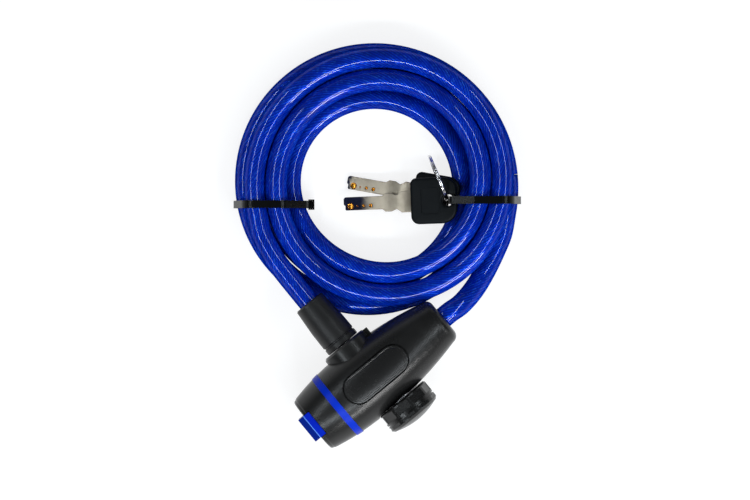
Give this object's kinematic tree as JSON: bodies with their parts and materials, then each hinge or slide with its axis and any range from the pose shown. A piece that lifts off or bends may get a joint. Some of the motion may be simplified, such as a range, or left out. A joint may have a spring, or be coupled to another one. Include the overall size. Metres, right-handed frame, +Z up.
{
  "type": "cable lock",
  "caption": "Coiling steel cable in a clear blue jacket with a barrel-shaped keyed lock body, a bolt that plugs into it, ties and keys.",
  "frame": {"origin": "on the lock body's rest panel, under the body's axis, at the surface that the lock lies on", "axes": "+Z up from the surface, +Y from the lock body toward the coil, +X to the right; the body's axis lies 39.5 degrees from +X toward +Y"},
  "size_m": [0.162, 0.2265, 0.0428],
  "materials": {
    "shell_black": "satin moulded black",
    "panel_black": "fine matte black",
    "trim_blue": "glossy blue",
    "cable_jacket": "clear blue jacket over laid steel rope",
    "bright_steel": "hardened steel",
    "key_nickel": "nickel plate, worn to brass in the dimples",
    "zinc": "cast zinc",
    "plug_brass": "machined brass",
    "tie_nylon": "black nylon",
    "key_plastic": "black key head plastic",
    "ring_nickel": "nickel-plated wire"
  },
  "bodies": {
    "cable": {"cable_coil": "cable_jacket", "cable_lead_lock": "cable_jacket", "cable_lead_bolt": "cable_jacket", "bolt_pin": "bright_steel", "bolt_sleeve": "shell_black", "bolt_ferrule": "zinc", "cable_tie_left": "tie_nylon", "cable_tie_right": "tie_nylon"},
    "lock": {"body_shell": "shell_black", "nose_cap": "shell_black", "trim_ring": "trim_blue", "inlay_panel": "panel_black", "rest_panel": "panel_black", "socket_collar": "panel_black", "lock_core": "zinc", "knob_screw": "bright_steel", "knob_washer": "bright_steel", "cable_ferrule": "zinc", "cable_stub": "cable_jacket"},
    "cylinder": {"cylinder_plug": "plug_brass", "plug_cam": "bright_steel"},
    "latch": {"latch": "bright_steel"},
    "cover": {"keyhole_cover": "trim_blue"},
    "knob": {"knob_grip": "panel_black", "knob_cap": "shell_black"},
    "key_1": {"key_1_blade": "key_nickel", "key_1_head": "key_plastic"},
    "key_2": {"key_2_blade": "key_nickel", "key_2_head": "key_plastic"},
    "ring": {"split_ring": "ring_nickel"}
  },
  "joints": [
    {"name": "bolt_pull", "type": "slide", "parent": "cable", "child": "lock", "axis": [0.6361, -0.7716, 0], "range_m": [0, 0.026]},
    {"name": "cylinder_turn", "type": "hinge", "parent": "lock", "child": "cylinder", "pos_m": [0, 0, 0.0215], "axis": [0.7716, 0.6361, 0], "range_deg": [0, 90]},
    {"name": "latch_slide", "type": "slide", "parent": "lock", "child": "latch", "axis": [0, 0, 1], "range_m": [0, 0.0047]},
    {"name": "cover_slide", "type": "slide", "parent": "lock", "child": "cover", "axis": [0, 0, 1], "range_m": [0, 0.013]},
    {"name": "knob_turn", "type": "hinge", "parent": "lock", "child": "knob", "pos_m": [0.00093, 0.00076, 0.0215], "axis": [0.6361, -0.7716, 0], "continuous": true},
    {"name": "key_1_swing", "type": "hinge", "parent": "cable", "child": "key_1", "pos_m": [0.0402, 0.0964, 0.0169], "axis": [-0.2164, 0, 0.9763], "range_deg": [-12, 12]},
    {"name": "key_2_swing", "type": "hinge", "parent": "cable", "child": "key_2", "pos_m": [0.0402, 0.0964, 0.0169], "axis": [-0.2164, 0, 0.9763], "range_deg": [-12, 12]},
    {"name": "ring_swing", "type": "hinge", "parent": "cable", "child": "ring", "pos_m": [0.0391, 0.09655, 0.0169], "axis": [0, 0, 1], "range_deg": [-10, 10]}
  ],
  "couplings": [
    {"joint": "latch_slide", "follows": "cylinder_turn", "m_per_rad": 0.0028811}
  ]
}
